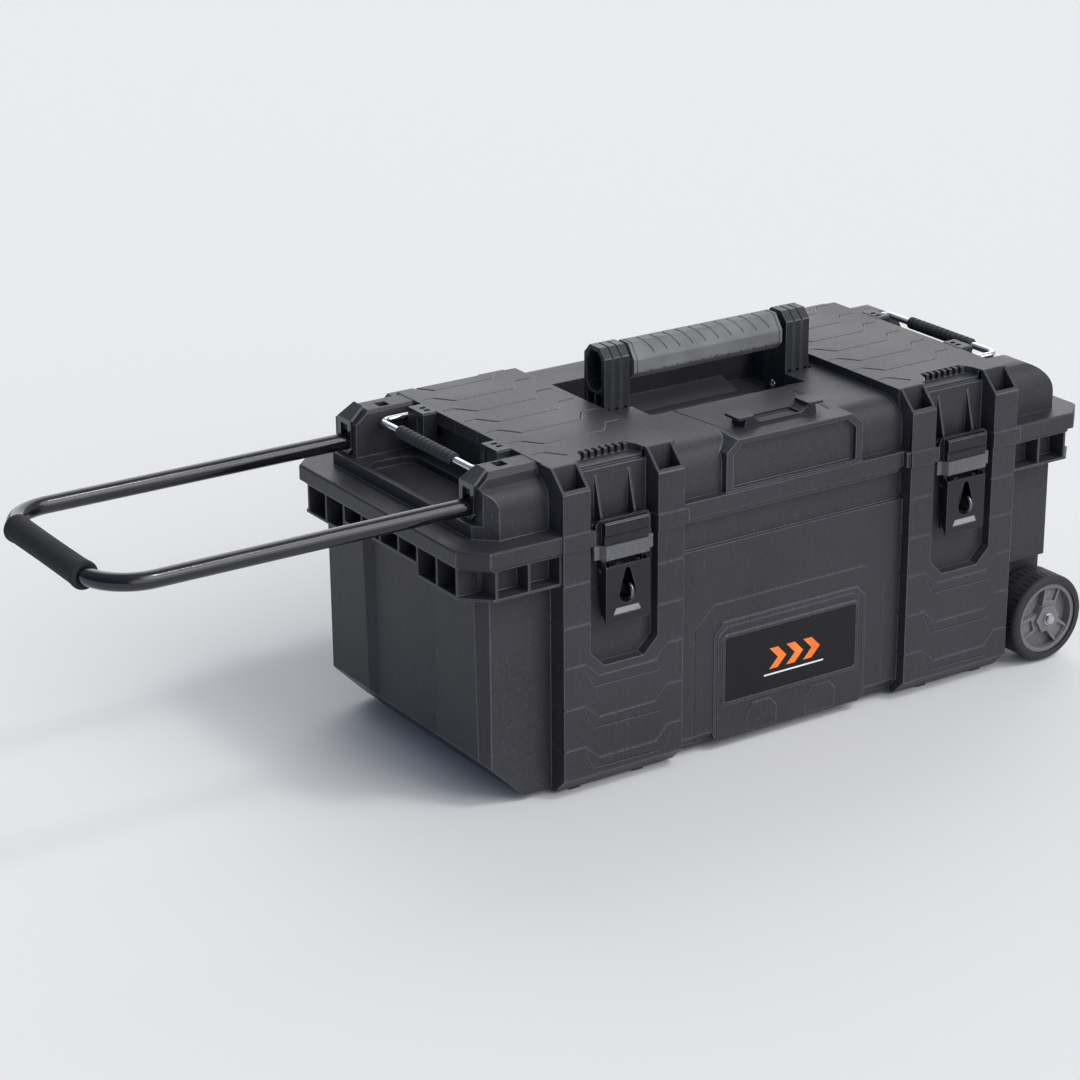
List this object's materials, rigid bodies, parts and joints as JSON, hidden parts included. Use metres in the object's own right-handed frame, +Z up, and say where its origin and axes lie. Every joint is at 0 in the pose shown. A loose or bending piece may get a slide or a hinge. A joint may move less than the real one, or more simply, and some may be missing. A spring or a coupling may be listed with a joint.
{
  "type": "rolling tool box",
  "caption": "Long moulded tool box with a hinged lid, draw latches, an extending pull handle, a folding carry handle, wire bails at the ends and transport wheels at one end.",
  "frame": {"origin": "centre of the flat base pad, on the floor plane", "axes": "+X along the box towards the wheels (the pull handle is drawn out towards -X), -Y the latch side, +Y the hinge side, +Z up"},
  "size_m": [1.048, 0.348, 0.3635],
  "materials": {
    "body_plastic": "satin, grained",
    "seal_rubber": "matte",
    "plate_black": "satin print",
    "steel": "zinc plated",
    "chrome": "bright",
    "tyre": "matte",
    "hub_grey": "satin",
    "gloss_black": "gloss",
    "bush_plastic": "satin",
    "tube_black": "gloss powder coat",
    "foam_black": "closed foam",
    "grip_grey": "soft matte",
    "post_black": "satin",
    "grip_dark": "matte",
    "band_grey": "satin"
  },
  "bodies": {
    "tub": {"tub_shell": "body_plastic", "name_plate": "plate_black", "wheel_axle": "steel", "axle_washers": "steel", "axle_nuts": "steel", "latch_screws": "steel", "left_latch_base": "steel", "left_padlock_eye": "chrome", "left_lever_pins": "steel", "left_hinge_pin": "steel", "right_latch_base": "steel", "right_padlock_eye": "chrome", "right_lever_pins": "steel", "right_hinge_pin": "steel"},
    "lid": {"lid_shell": "body_plastic", "lid_seal": "seal_rubber", "tape_cleat": "body_plastic", "front_tube_cap": "gloss_black", "front_tube_guide": "bush_plastic", "rear_tube_cap": "gloss_black", "rear_tube_guide": "bush_plastic", "left_latch_keeper": "bush_plastic", "left_handle_pin": "steel", "left_bail_bracket_front": "post_black", "left_bail_bracket_rear": "post_black", "right_latch_keeper": "bush_plastic", "right_handle_pin": "steel", "right_bail_bracket_front": "post_black", "right_bail_bracket_rear": "post_black"},
    "pull_handle": {"pull_tube": "tube_black", "pull_grip": "foam_black", "front_tube_stop": "bush_plastic", "rear_tube_stop": "bush_plastic"},
    "carry_handle": {"left_handle_post": "post_black", "right_handle_post": "post_black", "handle_core": "bush_plastic", "handle_grip": "grip_grey"},
    "left_bail": {"left_bail_rod": "chrome", "left_bail_grip": "grip_dark"},
    "left_latch_lever": {"left_lever": "gloss_black", "left_link_pin": "steel"},
    "left_latch_claw": {"left_claw": "gloss_black", "left_claw_band": "band_grey"},
    "right_bail": {"right_bail_rod": "chrome", "right_bail_grip": "grip_dark"},
    "right_latch_lever": {"right_lever": "gloss_black", "right_link_pin": "steel"},
    "right_latch_claw": {"right_claw": "gloss_black", "right_claw_band": "band_grey"},
    "front_wheel": {"front_tyre": "tyre", "front_hub": "hub_grey"},
    "rear_wheel": {"rear_tyre": "tyre", "rear_hub": "hub_grey"}
  },
  "joints": [
    {"name": "lid_hinge", "type": "hinge", "parent": "tub", "child": "lid", "pos_m": [0, 0.1675, 0.246], "axis": [-1, 0, 0], "range_deg": [0, 100]},
    {"name": "pull_handle_slide", "type": "slide", "parent": "lid", "child": "pull_handle", "axis": [1, 0, 0], "range_m": [0, 0.29]},
    {"name": "carry_handle_fold", "type": "hinge", "parent": "lid", "child": "carry_handle", "pos_m": [0, 0, 0.288], "axis": [-1, 0, 0], "range_deg": [0, 90]},
    {"name": "left_bail_lift", "type": "hinge", "parent": "lid", "child": "left_bail", "pos_m": [-0.268, 0, 0.302], "axis": [0, 1, 0], "range_deg": [0, 95]},
    {"name": "right_bail_lift", "type": "hinge", "parent": "lid", "child": "right_bail", "pos_m": [0.268, 0, 0.302], "axis": [0, -1, 0], "range_deg": [0, 95]},
    {"name": "front_wheel_spin", "type": "hinge", "parent": "tub", "child": "front_wheel", "pos_m": [0.313, -0.1475, 0.046], "axis": [0, 1, 0], "continuous": true},
    {"name": "rear_wheel_spin", "type": "hinge", "parent": "tub", "child": "rear_wheel", "pos_m": [0.313, 0.1475, 0.046], "axis": [0, 1, 0], "continuous": true},
    {"name": "left_lever_swing", "type": "hinge", "parent": "tub", "child": "left_latch_lever", "pos_m": [-0.1975, -0.156, 0.224], "axis": [-1, 0, 0], "range_deg": [0, 50]},
    {"name": "left_claw_tilt", "type": "hinge", "parent": "left_latch_lever", "child": "left_latch_claw", "pos_m": [-0.1975, -0.1565, 0.212], "axis": [-1, 0, 0], "range_deg": [-40, 1]},
    {"name": "right_lever_swing", "type": "hinge", "parent": "tub", "child": "right_latch_lever", "pos_m": [0.1975, -0.156, 0.224], "axis": [-1, 0, 0], "range_deg": [0, 50]},
    {"name": "right_claw_tilt", "type": "hinge", "parent": "right_latch_lever", "child": "right_latch_claw", "pos_m": [0.1975, -0.1565, 0.212], "axis": [-1, 0, 0], "range_deg": [-40, 1]}
  ],
  "couplings": [
    {"joint": "left_claw_tilt", "follows": "left_lever_swing", "ratio": -0.78},
    {"joint": "right_claw_tilt", "follows": "right_lever_swing", "ratio": -0.78}
  ]
}
